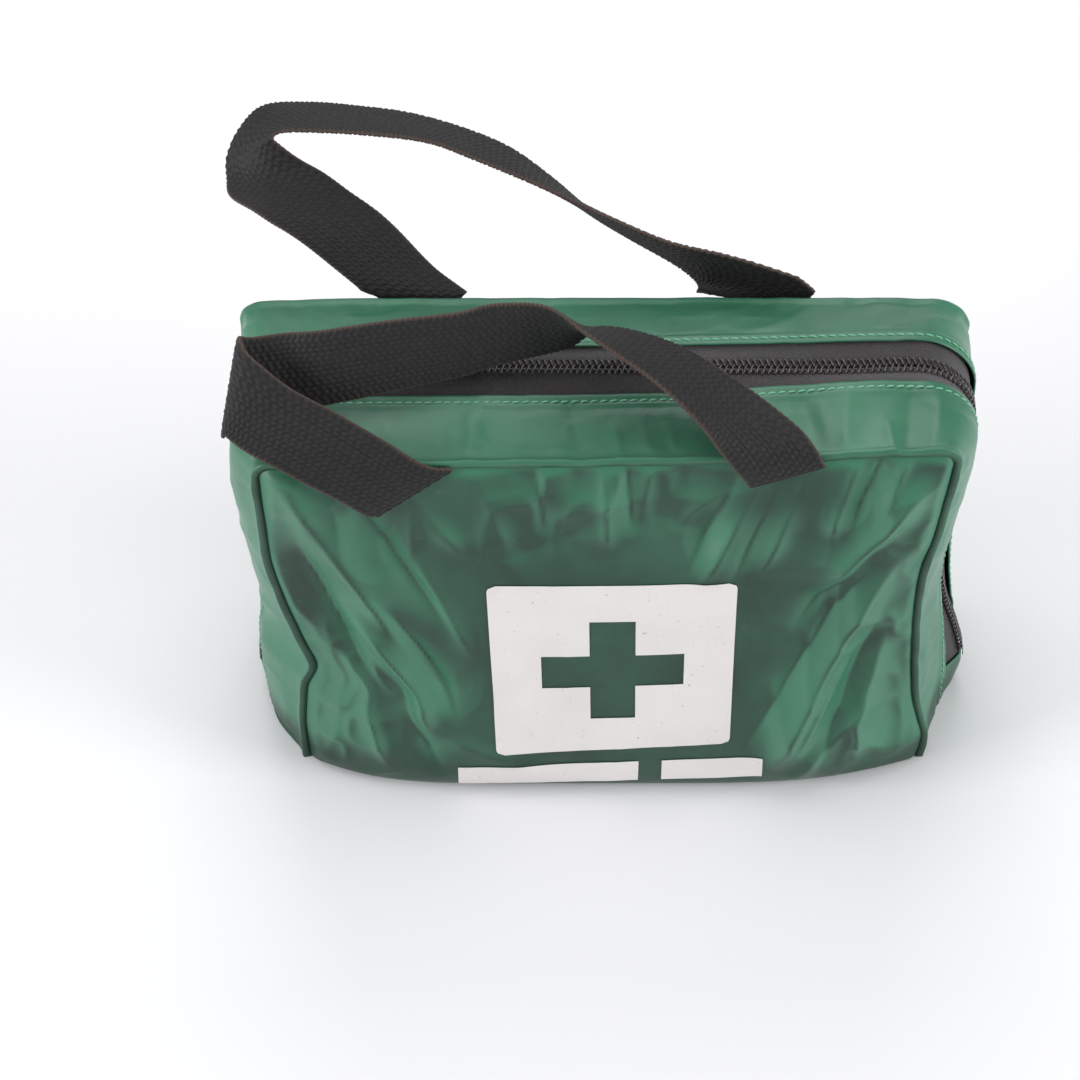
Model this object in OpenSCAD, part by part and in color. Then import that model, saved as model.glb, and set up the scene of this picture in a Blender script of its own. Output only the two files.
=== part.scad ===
// Soft first aid kit bag that opens like a book, with its contents.
// Origin at the bottom centre of the bag, the printed front faces -Y, +Z is up.

/* [Bag] */
// Width of the bag between its side seams
bag_w = 240; // [230:1:260]
// Depth from the front seam to the back seam
bag_d = 76; // [74:1:80]
// Height of the front panel's top seam
front_h = 149; // [145:1:155]
// Height of the back panel's top seam
back_h = 146; // [140:1:150]
// Radius of the panels' top corners
corner_r = 24; // [16:1:28]
// Height of the gusset's crown above its seams
crown = 9; // [7:1:12]
// Swell of the side gussets
side_swell = 3; // [1:0.5:4]
// Swell of the front panel
front_swell = 11; // [6:0.5:11]
// Swell of the back panel
back_swell = 5; // [2:0.5:8]
// Thickness of cloth with its lining
cloth_t = 1.2; // [0.8:0.1:1.2]
// Height of the fold line that the lid turns on
fold_z = 15; // [14:0.5:15]

/* [Zip] */
// Width of zip tape that shows between the cloth edges
zip_gap = 18; // [16:1:20]
// Width of one row of coil
coil_w = 3; // [2.5:0.1:3.2]
// Height of the coil above its tape
coil_h = 2.2; // [1.8:0.1:2.4]
// Length of a slider's body
slider_l = 12; // [10:0.5:12]
// Length of a pull tab
pull_l = 26; // [20:1:28]

/* [Handles] */
// Width of the webbing
web_w = 25; // [20:1:25]
// Thickness of the webbing
web_t = 1.6; // [1.2:0.1:1.6]

/* [Print] */
// Side of the printed square
print_w = 83; // [70:1:90]
// Place of the printed square's centre to the right of the middle
print_x = 3; // [-5:1:5]
// Height of the printed square's centre
print_z = 63; // [60:1:66]
// Span of the cross
cross_w = 48.5; // [40:0.5:52]
// Width of a cross arm
arm_w = 15.5; // [12:0.5:18]

/* [Contents] */
// Length of the wide bandage
wide_l = 98; // [80:1:100]
// Length of the narrow bandages
narrow_l = 73; // [60:1:75]
// Size of the plaster carton
carton = [88, 20, 58]; // [20:1:90]
// Size of a triangular bandage pack
tri_pack = [98, 9.5, 74]; // [9:0.5:100]
// Size of the foil blanket pack
foil_pack = [98, 8.5, 70]; // [8:0.5:100]
// Size of a wound dressing pack
dressing = [80, 6, 74]; // [5:0.5:80]
// Size of the glove pack
gloves = [88, 6, 66]; // [5:0.5:90]
// Outer radius of the tape roll
roll_r = 22; // [16:1:22]
// Radius of the tape roll's core hole
core_r = 12; // [8:0.5:13]
// Length of the scissors' blade below the screw
blade_l = 45; // [35:1:45]

/* [Hidden] */
half_w = bag_w / 2;
half_d = bag_d / 2;
gap = 0.3;                 // clearance between soft pieces
lip_h = fold_z - 1;        // top of the tray's lips, just under the fold line
lid_z = fold_z + 1;        // lowest edge of the lid, just above the fold line
zip_y = zip_gap / 2;       // where the cloth ends beside the zip
zip_z = 21;                // lower end of the zip on both sides
tape_in = -2.1;            // inner face of the zip tape, from the crown surface
tape_out = -1.3;           // outer face of the zip tape
zip_top = (front_h + back_h) / 2 + crown;
right_x = -67;             // rest place of the right slider
left_x = -80;              // rest place of the left slider
bar_up = 3.6;              // height of a pull's bar above the crown surface
screw = [70, 31.5, 50];    // scissors screw
steel_t = 1.7;

// Depth and height along the handles' doubled ends
front_tab = [[-41, 146.6], [-42.4, 143], [-44.4, 136]];
back_tab = [[40.6, 142.5], [41.6, 139], [43.2, 132]];

// Route of the front handle, as the two edges of its webbing
front_in = [
  [-50, -41, 151], [-67, -35, 156], [-83, -30, 162], [-100, -24, 168],
  [-111, -18, 173], [-118, -13, 175], [-117, -7, 175], [-104, -6, 176],
  [-92, -8, 179], [-67, -8, 184], [-47, -8, 187], [-35, -7, 190],
  [-20, -9, 191], [-6, -17, 186], [11, -24, 176], [28, -35, 166],
  [37, -43, 158], [46, -45, 151]
];
front_out = [
  [-74, -46, 146], [-92, -48, 147], [-108, -42, 152], [-118, -37, 156],
  [-122, -34, 158], [-123, -31, 158], [-121, -26, 156], [-106, -20, 156],
  [-90, -19, 158], [-67, -15, 161], [-51, -12, 163], [-35, -9, 166],
  [-14, -4, 168], [-1, 1, 172], [23, -3, 168], [40, -14, 164],
  [59, -31, 159], [70, -41, 153]
];
// Route of the back handle
back_in = [
  [-51, 42, 147], [-63, 53, 157], [-81, 66, 168], [-96, 74, 178],
  [-104, 76, 186], [-107, 76, 190], [-106, 76, 191], [-103, 76, 191],
  [-86, 77, 190], [-69, 75, 188], [-49, 70, 185], [-29, 64, 180],
  [-9, 55, 173], [13, 47, 166], [35, 41, 160], [56, 41, 153], [68, 43, 147]
];
back_out = [
  [-75, 42, 145], [-85, 48, 150], [-98, 56, 158], [-110, 64, 164],
  [-119, 71, 167], [-121, 80, 170], [-120, 90, 173], [-113, 97, 178],
  [-90, 99, 178], [-72, 97, 176], [-51, 92, 173], [-31, 86, 168],
  [-10, 78, 161], [10, 67, 154], [25, 57, 147], [34, 49, 147], [44, 43, 145]
];

// A closed solid skinned over a list of rings, with flat ends
module skin(rings) {
  n = len(rings[0]);
  m = len(rings);
  walls = [for (i = [0:m - 2], j = [0:n - 1])
    let (k = (j + 1) % n, a = i * n + j, b = i * n + k)
    each [[a, b + n, b], [a, a + n, b + n]]];
  first = [for (j = [0:n - 1]) j];
  last = [for (j = [n - 1:-1:0]) (m - 1) * n + j];
  polyhedron([for (r = rings) each r], concat([first], walls, [last]));
}

function unit(v) = v / norm(v);
function mirrored(side) = concat(side, [for (i = [len(side) - 2:-1:0])
  [-side[i][0], side[i][1], -side[i][2], side[i][3]]]);

// Half of the bag's outline from the right foot to the middle of the top:
// x, z and the outward direction, for a top seam at height h
function half_outline(h, z0) = concat(
  [for (i = [0:4]) [half_w, z0 + (h - corner_r - z0) * i / 4, 1, 0]],
  [for (a = [15:15:75]) [half_w - corner_r + corner_r * cos(a),
    h - corner_r + corner_r * sin(a), cos(a), sin(a)]],
  [for (i = [0:3]) [(half_w - corner_r) * (1 - i / 3), h, 0, 1]]);

function seam_h(y) = front_h + (back_h - front_h) * (y + half_d) / bag_d;
function lift(y, up) = (1 - pow(y / half_d, 2)) * (side_swell + (crown - side_swell) * up * up);
function on_gusset(p, y, r) = let (s = lift(y, p[3]) + r)
  [p[0] + p[2] * s, y, p[1] + p[3] * s];

// A strip of the gusset between two depths and two heights over its surface
module strip(y0, y1, low, high, z0, cells) {
  ys = [for (j = [0:cells]) y0 + (y1 - y0) * j / cells];
  count = len(mirrored(half_outline(front_h, z0)));
  skin([for (i = [0:count - 1]) concat(
    [for (y = ys) on_gusset(mirrored(half_outline(seam_h(y), z0))[i], y, high)],
    [for (j = [cells:-1:0]) on_gusset(mirrored(half_outline(seam_h(ys[j]), z0))[i], ys[j], low)])]);
}

// Heights of a panel's rows, and its half width at each
function panel_rows(h, z0) = concat(
  [for (i = [0:7]) z0 + (h - corner_r - z0) * i / 7],
  [for (a = [15:15:90]) h - corner_r + (corner_r - 1.3) * sin(a)]);
function panel_half(h, z) = z <= h - corner_r ? half_w - 1.3 :
  half_w - corner_r + sqrt(max(0, pow(corner_r - 1.3, 2) - pow(z - h + corner_r, 2)));
// How far a panel stands out at a point, a little even at its edges
function swell(amount, x, z, h, z0) = let (w = half_w + 4, d = h - z0 + 8)
  amount * (1 - pow(x / w, 2)) * (1 - pow((2 * z - h - z0) / d, 2));

module panel(side, amount, h, z0) {
  cells = 16;
  skin([for (z = panel_rows(h, z0)) let (w = panel_half(h, z)) concat(
    [for (i = [0:cells]) let (x = w * (2 * i / cells - 1))
      [x * side, side * (half_d + swell(amount, x, z, h, z0)), z]],
    [for (i = [cells:-1:0]) let (x = w * (2 * i / cells - 1))
      [x * side, side * (half_d - cloth_t + swell(amount, x, z, h, z0)), z]])]);
}

// A thin patch printed on the front panel
module patch(x0, x1, z0, z1, cells, rows) {
  skin([for (j = [0:rows]) let (z = z0 + (z1 - z0) * j / rows) concat(
    [for (i = [0:cells]) let (x = x0 + (x1 - x0) * i / cells)
      [x, -half_d - 0.5 - swell(front_swell, x, z, front_h, lid_z), z]],
    [for (i = [cells:-1:0]) let (x = x0 + (x1 - x0) * i / cells)
      [x, -half_d - 0.15 - swell(front_swell, x, z, front_h, lid_z), z]])]);
}

// Smooth curve through points
function spline(p, i, t) = let (a = p[max(i - 1, 0)], b = p[i], c = p[i + 1],
  d = p[min(i + 2, len(p) - 1)])
  0.5 * (2 * b + (c - a) * t + (2 * a - 5 * b + 4 * c - d) * t * t
    + (3 * b - a - 3 * c + d) * t * t * t);
function curve(p, steps) = concat(
  [for (i = [0:len(p) - 2], k = [0:steps - 1]) spline(p, i, k / steps)], [p[len(p) - 1]]);

// Webbing of even width between two edge routes
module webbing(inner, outer, steps = 3) {
  a = curve(inner, steps);
  b = curve(outer, steps);
  mid = (a + b) / 2;
  count = len(a);
  skin([for (i = [0:count - 1]) let (
    across = unit(a[i] - b[i]),
    along = mid[min(i + 1, count - 1)] - mid[max(i - 1, 0)],
    face = unit(cross(across, along)) * web_t / 2,
    half = across * web_w / 2)
    [mid[i] + half + face, mid[i] - half + face, mid[i] - half - face, mid[i] + half - face]]);
}

module block(low, size) {
  translate(low) cube(size);
}

module front_panel() {
  color("seagreen") panel(-1, front_swell, front_h, lid_z);
}

module print_square() {
  steps = [-print_w, -cross_w, -arm_w, arm_w, cross_w, print_w] / 2;
  color("whitesmoke") for (i = [0:4], j = [0:4])
    if (abs(i - 2) > 1 || abs(j - 2) > 1 || (i != 2 && j != 2))
      patch(print_x + steps[i] + 0.03, print_x + steps[i + 1] - 0.03,
        print_z + steps[j] + 0.03, print_z + steps[j + 1] - 0.03, 2, 2);
}

module print_bars() {
  color("whitesmoke") {
    patch(-48, 16, lid_z + 0.5, lid_z + 4, 6, 1);
    patch(24, 54, lid_z + 0.5, lid_z + 4, 3, 1);
  }
}

module front_gusset() {
  color("seagreen") strip(-half_d, -zip_y, -cloth_t, 0, lid_z, 4);
}

module back_gusset() {
  color("seagreen") strip(zip_y, half_d, -cloth_t, 0, 0, 4);
}

// Binding over the raw seam edges inside the bag
module front_seam_tape() {
  color("darkgreen") strip(-half_d + 2.6, -half_d + 5.6, -3, -cloth_t - gap, lid_z, 1);
}

module back_seam_tape() {
  color("darkgreen") strip(half_d - 5.6, half_d - 2.6, -3, -cloth_t - gap, 3, 1);
}

module front_zip_tape() {
  color("dimgray") strip(-zip_y - 2, -coil_w - gap, tape_in, tape_out, zip_z, 1);
}

module back_zip_tape() {
  color("dimgray") strip(coil_w + gap, zip_y + 2, tape_in, tape_out, zip_z, 1);
}

module front_zip_coil() {
  color("black") strip(-coil_w - 0.2, -0.2, tape_out, tape_out + coil_h, zip_z, 1);
}

module back_zip_coil() {
  color("black") strip(0.2, coil_w + 0.2, tape_out, tape_out + coil_h, zip_z, 1);
}

// Cloth tabs that close the two lower ends of the zip
module zip_end_tabs() {
  color("seagreen") for (side = [-1, 1])
    block([side * (half_w + 1.3) - 1, -zip_y + 0.4, 1.5], [2, zip_gap - 0.8, zip_z - 2]);
}

// Tray that the lid folds from: floor, front lip and short side lips
module bottom_panel() {
  inner = half_w - 1.4;
  color("seagreen") {
    block([-inner, -half_d, 0], [2 * inner, bag_d - cloth_t - gap, cloth_t]);
    block([-inner, -half_d, 0], [2 * inner, cloth_t, lip_h]);
    for (side = [-1, 1])
      block([side * (inner - cloth_t / 2) - cloth_t / 2, -half_d, 0], [cloth_t, half_d + zip_y, lip_h]);
  }
}

module back_panel() {
  color("seagreen") panel(1, back_swell, back_h, cloth_t + gap);
}

// Short ends of webbing, doubled down over the seam
module front_handle_tabs() {
  color("black") for (x = [-62, 58])
    webbing([for (p = front_tab) [x + 12, p[0], p[1]]], [for (p = front_tab) [x - 12, p[0], p[1]]], 1);
}

module back_handle_tabs() {
  color("black") for (x = [-63, 56])
    webbing([for (p = back_tab) [x - 12, p[0], p[1]]], [for (p = back_tab) [x + 12, p[0], p[1]]], 1);
}

module front_handle() {
  color("black") webbing(front_in, front_out);
}

module back_handle() {
  color("black") webbing(back_in, back_out);
}

// Open topped pocket sewn to the inside of the front panel
module inner_pocket() {
  color("darkgreen") {
    block([-98, -20.6, 15], [196, 0.8, 78]);
    block([-98, -36, 15], [196, 16.2, 0.8]);
    for (x = [-98, 97.2])
      block([x, -36, 15], [0.8, 16.2, 78]);
  }
}

module first_aid_leaflet() {
  color("white") block([-90, -36.2, 16.2], [148, 0.8, 92]);
}

module wound_dressings() {
  color("white") for (k = [0, 1])
    block([-94, -34.8 + k * (dressing[1] + gap), 16.2], dressing);
}

module glove_pack() {
  color("lightsteelblue") block([-8, -34.8, 16.2], gloves);
}

module wipe_sachets() {
  color("lightblue") for (k = [0:2])
    block([4 + 6 * k, -28.3 + k * 2.3, 16.2], [60, 2, 50]);
}

// Elastic webbing that holds the rolls against the back panel
module elastic_strap() {
  rolls = [[-98, 18, 17], [-64, 21, 14], [-34, 21, 14]];
  color("black") translate([0, 0, 34]) linear_extrude(24) {
    for (r = rolls) {
      difference() {
        translate([r[0], r[1]]) circle(r[2] + 1.1, $fn = 64);
        translate([r[0], r[1]]) circle(r[2] + gap, $fn = 64);
        translate([r[0] - 30, r[1]]) square([60, 30]);
      }
      for (side = [-1, 1])
        translate([r[0] + side * (r[2] + 0.7) - 0.4, r[1] - 0.1]) square([0.8, 36.2 - r[1]]);
    }
    translate([-115.7, 35.4]) square([96.9, 0.8]);
  }
}

module bandage(x, y, radius, length) {
  translate([x, y, cloth_t + gap]) difference() {
    cylinder(h = length, r = radius, $fn = 64);
    translate([0, 0, -1]) cylinder(h = length + 2, r = 1.5, $fn = 24);
  }
}

module wide_bandage() {
  color("antiquewhite") bandage(-98, 18, 17, wide_l);
}

module narrow_bandages() {
  color("white") for (x = [-64, -34]) bandage(x, 21, 14, narrow_l);
}

module plaster_carton() {
  color("white") block([23, 7, cloth_t + gap], carton);
}

module triangular_bandages() {
  color("white") for (x = [-112, -9])
    block([x, -16, cloth_t + gap], tri_pack);
}

module foil_blanket() {
  color("silver") block([-9, -5.6, cloth_t + gap], foil_pack);
}

module tape_roll() {
  color("white") translate([88, 28, 60.3 + roll_r]) rotate([90, 0, 0]) difference() {
    cylinder(h = 22, r = roll_r, $fn = 72);
    translate([0, 0, -1]) cylinder(h = 24, r = core_r + 1.5, $fn = 72);
  }
}

module tape_core() {
  color("burlywood") translate([88, 28, 60.3 + roll_r]) rotate([90, 0, 0]) difference() {
    cylinder(h = 22, r = core_r + 1.45, $fn = 72);
    translate([0, 0, -1]) cylinder(h = 24, r = core_r, $fn = 72);
  }
}

module tweezers() {
  color("silver") translate([10, 29, 4]) {
    for (side = [-1, 1])
      translate([0, side * 1.9, 0]) rotate([90, 0, 0]) linear_extrude(1, center = true)
        polygon([[-1.2, 0], [1.2, 0], [4.2, 50], [4.2, 84], [-4.2, 84], [-4.2, 50]]);
    block([-4.2, -2.4, 83], [8.4, 4.8, 3]);
  }
}

// Two pins as flat loops, with their caps
module safety_pins() {
  color("silver") for (x = [-8, 1]) translate([x, 14, 4]) rotate([90, 0, 0]) linear_extrude(1.2) {
    difference() {
      square([6.5, 32]);
      translate([1, 1]) square([4.5, 25]);
    }
  }
}

// One half of the scissors: blade, shank and finger ring, about the screw
module scissors_half() {
  rotate([90, 0, 0]) linear_extrude(steel_t, center = true) difference() {
    union() {
      polygon([[-1, -blade_l], [5, -8], [5, 4], [8, 31], [3, 31], [-6, 6], [-6, -6]]);
      translate([12.5, 40]) circle(12, $fn = 64);
    }
    translate([12.5, 40]) circle(8.8, $fn = 64);
    circle(2.05, $fn = 48);
  }
}

module scissors_back_half() {
  color("silver") translate(screw + [0, steel_t / 2 + 0.15, 0]) scissors_half();
}

module scissors_front_half() {
  color("silver") translate(screw - [0, steel_t / 2 + 0.15, 0]) mirror([1, 0, 0]) scissors_half();
}

// Riveted screw with a head at each end
module scissors_screw() {
  color("gray") translate(screw) rotate([90, 0, 0]) {
    cylinder(h = 2 * steel_t + 1.6, r = 2, center = true, $fn = 48);
    for (side = [-1, 1])
      translate([0, 0, side * (steel_t + 0.75)]) cylinder(h = 0.9, r = 3.2, center = true, $fn = 48);
  }
}

// Slider body about its own centre: outer plate with a flange behind the chain,
// inner plate under the tapes, and the bail that the pull hangs in
module slider_body() {
  block([-slider_l / 2, -1.5, 1.3], [slider_l, 6.1, 1.1]);
  block([-slider_l / 2, 3.8, -1], [slider_l, 0.8, 2.4]);
  block([-slider_l / 2, -4.6, -4.2], [slider_l, 9.2, 1.1]);
  difference() {
    block([-slider_l / 2 + 1, -1.2, 2.4], [slider_l - 2, 2.4, 3.2]);
    block([-slider_l / 2 + 2, -2, 2.4], [slider_l - 4, 4, 2.4]);
  }
}

module right_slider() {
  color("dimgray") translate([right_x, 0, zip_top]) slider_body();
}

module left_slider() {
  color("dimgray") translate([left_x, 0, zip_top]) slider_body();
}

// Pull tab about its bar: the bar, two arms beside the bail and the grip
module pull() {
  rotate([90, 0, 0]) cylinder(h = 6.6, r = 0.7, center = true, $fn = 32);
  for (y = [-3.3, 1.7])
    block([0, y, -0.6], [9, 1.6, 1.2]);
  difference() {
    block([8, -3.6, -0.6], [pull_l - 8, 7.2, 1.2]);
    translate([pull_l - 5, 0, -1]) cylinder(h = 2, r = 1.6, $fn = 32);
  }
}

module right_pull() {
  color("black") translate([right_x, 0, zip_top + bar_up]) rotate([0, 4, 0]) pull();
}

module left_pull() {
  color("black") translate([left_x, 0, zip_top + bar_up]) rotate([0, -4, 180]) pull();
}

front_panel();
print_square();
print_bars();
front_gusset();
front_seam_tape();
front_zip_tape();
front_zip_coil();
front_handle_tabs();
inner_pocket();
first_aid_leaflet();
wound_dressings();
glove_pack();
wipe_sachets();
back_panel();
back_gusset();
back_seam_tape();
bottom_panel();
zip_end_tabs();
back_zip_tape();
back_zip_coil();
back_handle_tabs();
elastic_strap();
wide_bandage();
narrow_bandages();
plaster_carton();
triangular_bandages();
foil_blanket();
tape_roll();
tape_core();
tweezers();
safety_pins();
scissors_back_half();
scissors_screw();
scissors_front_half();
front_handle();
back_handle();
right_slider();
left_slider();
right_pull();
left_pull();
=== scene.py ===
# Soft first aid bag: cloth shell, zip, straps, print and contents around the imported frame.
# Shapes are worked out in millimetres and turned into metres when a mesh is made.
import math
import bmesh
import bpy
import numpy as np
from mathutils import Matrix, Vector


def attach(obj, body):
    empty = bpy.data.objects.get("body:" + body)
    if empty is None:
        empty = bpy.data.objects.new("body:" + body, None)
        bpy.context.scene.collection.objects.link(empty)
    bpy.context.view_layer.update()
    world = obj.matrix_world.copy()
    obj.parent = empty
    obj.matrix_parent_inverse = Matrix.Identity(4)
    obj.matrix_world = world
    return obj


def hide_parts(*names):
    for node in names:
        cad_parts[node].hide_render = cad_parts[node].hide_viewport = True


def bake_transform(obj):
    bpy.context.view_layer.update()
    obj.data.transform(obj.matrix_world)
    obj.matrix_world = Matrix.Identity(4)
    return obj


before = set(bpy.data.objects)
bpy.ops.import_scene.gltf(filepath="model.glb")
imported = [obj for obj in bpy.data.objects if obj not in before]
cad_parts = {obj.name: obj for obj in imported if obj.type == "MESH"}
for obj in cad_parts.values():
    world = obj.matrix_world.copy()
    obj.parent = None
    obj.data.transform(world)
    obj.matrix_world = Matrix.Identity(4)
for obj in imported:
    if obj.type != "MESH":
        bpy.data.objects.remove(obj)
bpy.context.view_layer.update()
toMetres = 0.001
# Pitch of the coated cloth's weave, and the webbing's sizes, in millimetres
clothWeave = 0.42
strap = {"width": 25.0, "thick": 1.3, "step": 0.5, "across": 52, "rib": 2.5, "column": 1.6, "float": 0.55}
scene = bpy.context.scene


def ramp(t, low, high):
    # Smooth step from 0 at low to 1 at high
    f = np.clip((np.asarray(t, float) - low) / (high - low), 0, 1)
    return f * f * (3 - 2 * f)


def cubic(t, points):
    # Cubic through given (t, value) points, with each point's slope from its neighbours
    known = np.array(points, float)
    return between(t, known[:, 0], known[:, 1][:, None] * np.ones(np.size(t))).reshape(np.shape(t))


def between(t, places, sheets):
    # The same cubic, where every place holds a whole sheet of values
    t = np.asarray(t, float)
    flat = t.ravel()
    places = np.asarray(places, float)
    sheets = np.asarray(sheets, float).reshape(len(places), -1)
    slopes = np.gradient(sheets, places, axis=0)
    i = np.clip(np.searchsorted(places, flat, side="right") - 1, 0, len(places) - 2)
    h = places[i + 1] - places[i]
    f = np.clip((flat - places[i]) / h, 0, 1)
    column = np.arange(flat.size)
    a, b = sheets[i, column], sheets[i + 1, column]
    c, d = slopes[i, column] * h, slopes[i + 1, column] * h
    value = a + f * c + f * f * (3 * (b - a) - 2 * c - d) + f ** 3 * (2 * (a - b) + c + d)
    return value.reshape(t.shape)


def table(stations, a, y):
    # Value at (a, y) from curves over a that are given at a few depths y
    a, y = np.broadcast_arrays(np.asarray(a, float), np.asarray(y, float))
    depths = sorted(stations)
    return between(y, depths, [cubic(a, stations[k]) for k in depths])


lattice = np.random.default_rng(7).random((32, 32))


def noise(a, b):
    # Smooth value noise from -1 to 1, on a square lattice of one unit
    a, b = np.broadcast_arrays(np.asarray(a, float), np.asarray(b, float))
    i, j = np.floor(a).astype(int), np.floor(b).astype(int)
    f, g = ramp(a - i, 0, 1), ramp(b - j, 0, 1)
    corner = [[lattice[(i + p) % 32, (j + q) % 32] for q in (0, 1)] for p in (0, 1)]
    low = corner[0][0] * (1 - g) + corner[0][1] * g
    high = corner[1][0] * (1 - g) + corner[1][1] * g
    return 2 * (low * (1 - f) + high * f) - 1


def crumple(a, b, size):
    # Creased cloth: sharp ridges where two sizes of noise cross zero
    ridges = 1 - np.abs(noise(a / size, b / size))
    fine = 1 - np.abs(noise(a / size * 2.1 + 9, b / size * 2.1 + 4))
    return ridges ** 2 + 0.45 * fine ** 2 - 0.8


def foldHeight(a, b, folds):
    # Each fold (a0, b0, a1, b1, width, height) is a soft ridge along a line, fading past its ends
    total = np.zeros(np.broadcast(a, b).shape)
    for a0, b0, a1, b1, width, height in folds:
        run = math.hypot(a1 - a0, b1 - b0)
        along = ((a - a0) * (a1 - a0) + (b - b0) * (b1 - b0)) / run ** 2
        across = ((b - b0) * (a1 - a0) - (a - a0) * (b1 - b0)) / run
        ends = ramp(along, -0.2, 0.25) * (1 - ramp(along, 0.75, 1.2))
        total = total + height * np.exp(0.25 - np.sqrt((across / width) ** 2 * 2.2 + 0.0625)) * ends
    return total


def stack(x, y, z):
    return np.stack(np.broadcast_arrays(x, y, z), axis=-1).astype(float)


def unit(v):
    return v / np.maximum(np.linalg.norm(v, axis=-1, keepdims=True), 1e-9)


def gridNormals(grid):
    # Across a grid's rows and columns, by the right-hand rule
    return unit(np.cross(np.gradient(grid, axis=0), np.gradient(grid, axis=1)))


def gridFaces(rows, cols, wrap=False, close=False):
    # Quads between neighbouring rows and columns; wrap joins the last column to the first, close the rows
    i = np.arange(rows if close else rows - 1)[:, None]
    j = np.arange(cols if wrap else cols - 1)[None, :]
    k, n = (j + 1) % cols, (i + 1) % rows
    quads = np.stack(np.broadcast_arrays(i * cols + j, n * cols + j, n * cols + k, i * cols + k), -1)
    return quads.reshape(-1, 4)


def lengths(points):
    # Distance run along a path up to each of its points
    steps = np.linalg.norm(np.diff(points, axis=0), axis=1)
    return np.concatenate([[0], np.cumsum(steps)])


def sampled(rows, run, want):
    # Rows of a path, read at the wanted distances along it
    return np.stack([np.interp(want, run, rows[:, k]) for k in range(rows.shape[1])], -1)


def evenly(points, step, *others):
    # Path points, and rows of any others beside them, spaced evenly along the path
    run = lengths(points)
    want = np.linspace(0, run[-1], max(2, int(round(run[-1] / step)) + 1))
    return [sampled(rows, run, want) for rows in (points, *others)] + [want]


def splined(points, steps):
    # Catmull-Rom curve through the points of a route
    p = np.array(points, float)
    p = np.vstack([p[:1], p, p[-1:]])
    t = (np.arange(steps) / steps)[None, :, None]
    a, b, c, d = p[:-3, None], p[1:-2, None], p[2:-1, None], p[3:, None]
    curve = 0.5 * (2 * b + (c - a) * t + (2 * a - 5 * b + 4 * c - d) * t ** 2
                   + (3 * b - a - 3 * c + d) * t ** 3)
    return np.vstack([curve.reshape(-1, 3), p[-1:]])


def addMesh(name, points, faces, material, body=None, uv=None):
    # uv is one pair for each point
    points = np.asarray(points, float).reshape(-1, 3) * toMetres
    mesh = bpy.data.meshes.new(name)
    faces = [list(map(int, face)) for face in faces]
    mesh.from_pydata(points.tolist(), [], faces)
    if uv is not None:
        layer = mesh.uv_layers.new(name="cloth")
        corner = np.zeros(len(mesh.loops), int)
        mesh.loops.foreach_get("vertex_index", corner)
        layer.data.foreach_set("uv", np.asarray(uv, np.float32).reshape(-1, 2)[corner].ravel())
    mesh.polygons.foreach_set("use_smooth", np.ones(len(mesh.polygons), bool))
    mesh.update()
    mesh.materials.append(material)
    piece = bpy.data.objects.new(name, mesh)
    scene.collection.objects.link(piece)
    if body:
        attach(piece, body)
    return piece


def gridUv(grid):
    # Cloth coordinates in metres: distances run along the middle row and the middle column
    rows, cols = grid.shape[:2]
    down, over = lengths(grid[:, cols // 2]), lengths(grid[rows // 2])
    return stack(down[:, None], over[None, :], 0)[..., :2] * toMetres


def addAttribute(piece, name, values):
    layer = piece.data.attributes.new(name, "FLOAT", "POINT")
    layer.data.foreach_set("value", values.astype(np.float32).ravel())


def addGrid(name, grid, material, body=None):
    # "lean" is the sine of the angle between the surface and the front, and fades out near the ground; the
    # cloth's colour uses it for painted sheen on cloth turned away from the front and painted shade near the
    # ground
    faces = gridFaces(grid.shape[0], grid.shape[1])
    piece = addMesh(name, grid, faces, material, body, gridUv(grid))
    turned = gridNormals(grid)
    addAttribute(piece, "lean", np.hypot(turned[..., 0], turned[..., 2]) * ramp(grid[..., 2], 2, 26))
    return piece


def thicken(piece, thickness, inner=None):
    # Gives a sheet its wall; a second material, if there is one, shows on the inside
    solid = piece.modifiers.new("wall", "SOLIDIFY")
    solid.thickness = thickness * toMetres
    solid.offset = -1
    solid.use_even_offset = False
    solid.use_rim = True
    if inner:
        piece.data.materials.append(inner)
        solid.material_offset = 1
    return piece


def capsules(name, places, along, up, size, material, body):
    # Many small threads: each is a short humped tube with pointed ends, size = length, radius, hump
    length, radius, hump = size
    sides = 6
    t = np.array([-1, -0.8, -0.3, 0.3, 0.8, 1.0])
    thick = np.array([0.05, 0.75, 1, 1, 0.75, 0.05])
    turn = np.arange(sides) / sides * 2 * np.pi
    side = unit(np.cross(along, up))
    middle = (places[:, None] + along[:, None] * (t * length / 2)[None, :, None]
              + up[:, None] * (hump * (1 - t ** 4) - 0.15)[None, :, None])
    ring = (side[:, None] * np.cos(turn)[None, :, None] + up[:, None] * np.sin(turn)[None, :, None]) * radius
    points = middle[:, :, None] + ring[:, None] * thick[None, :, None, None]
    faces = gridFaces(len(t), sides, True)
    caps = np.array([np.arange(sides)[::-1], np.arange(sides) + (len(t) - 1) * sides])
    count = len(t) * sides
    shift = (np.arange(len(places)) * count)[:, None, None]
    everyFace = [*(faces[None] + shift).reshape(-1, 4)[:, ::-1], *(caps[None] + shift).reshape(-1, sides)]
    return addMesh(name, points, everyFace, material, body)


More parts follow.
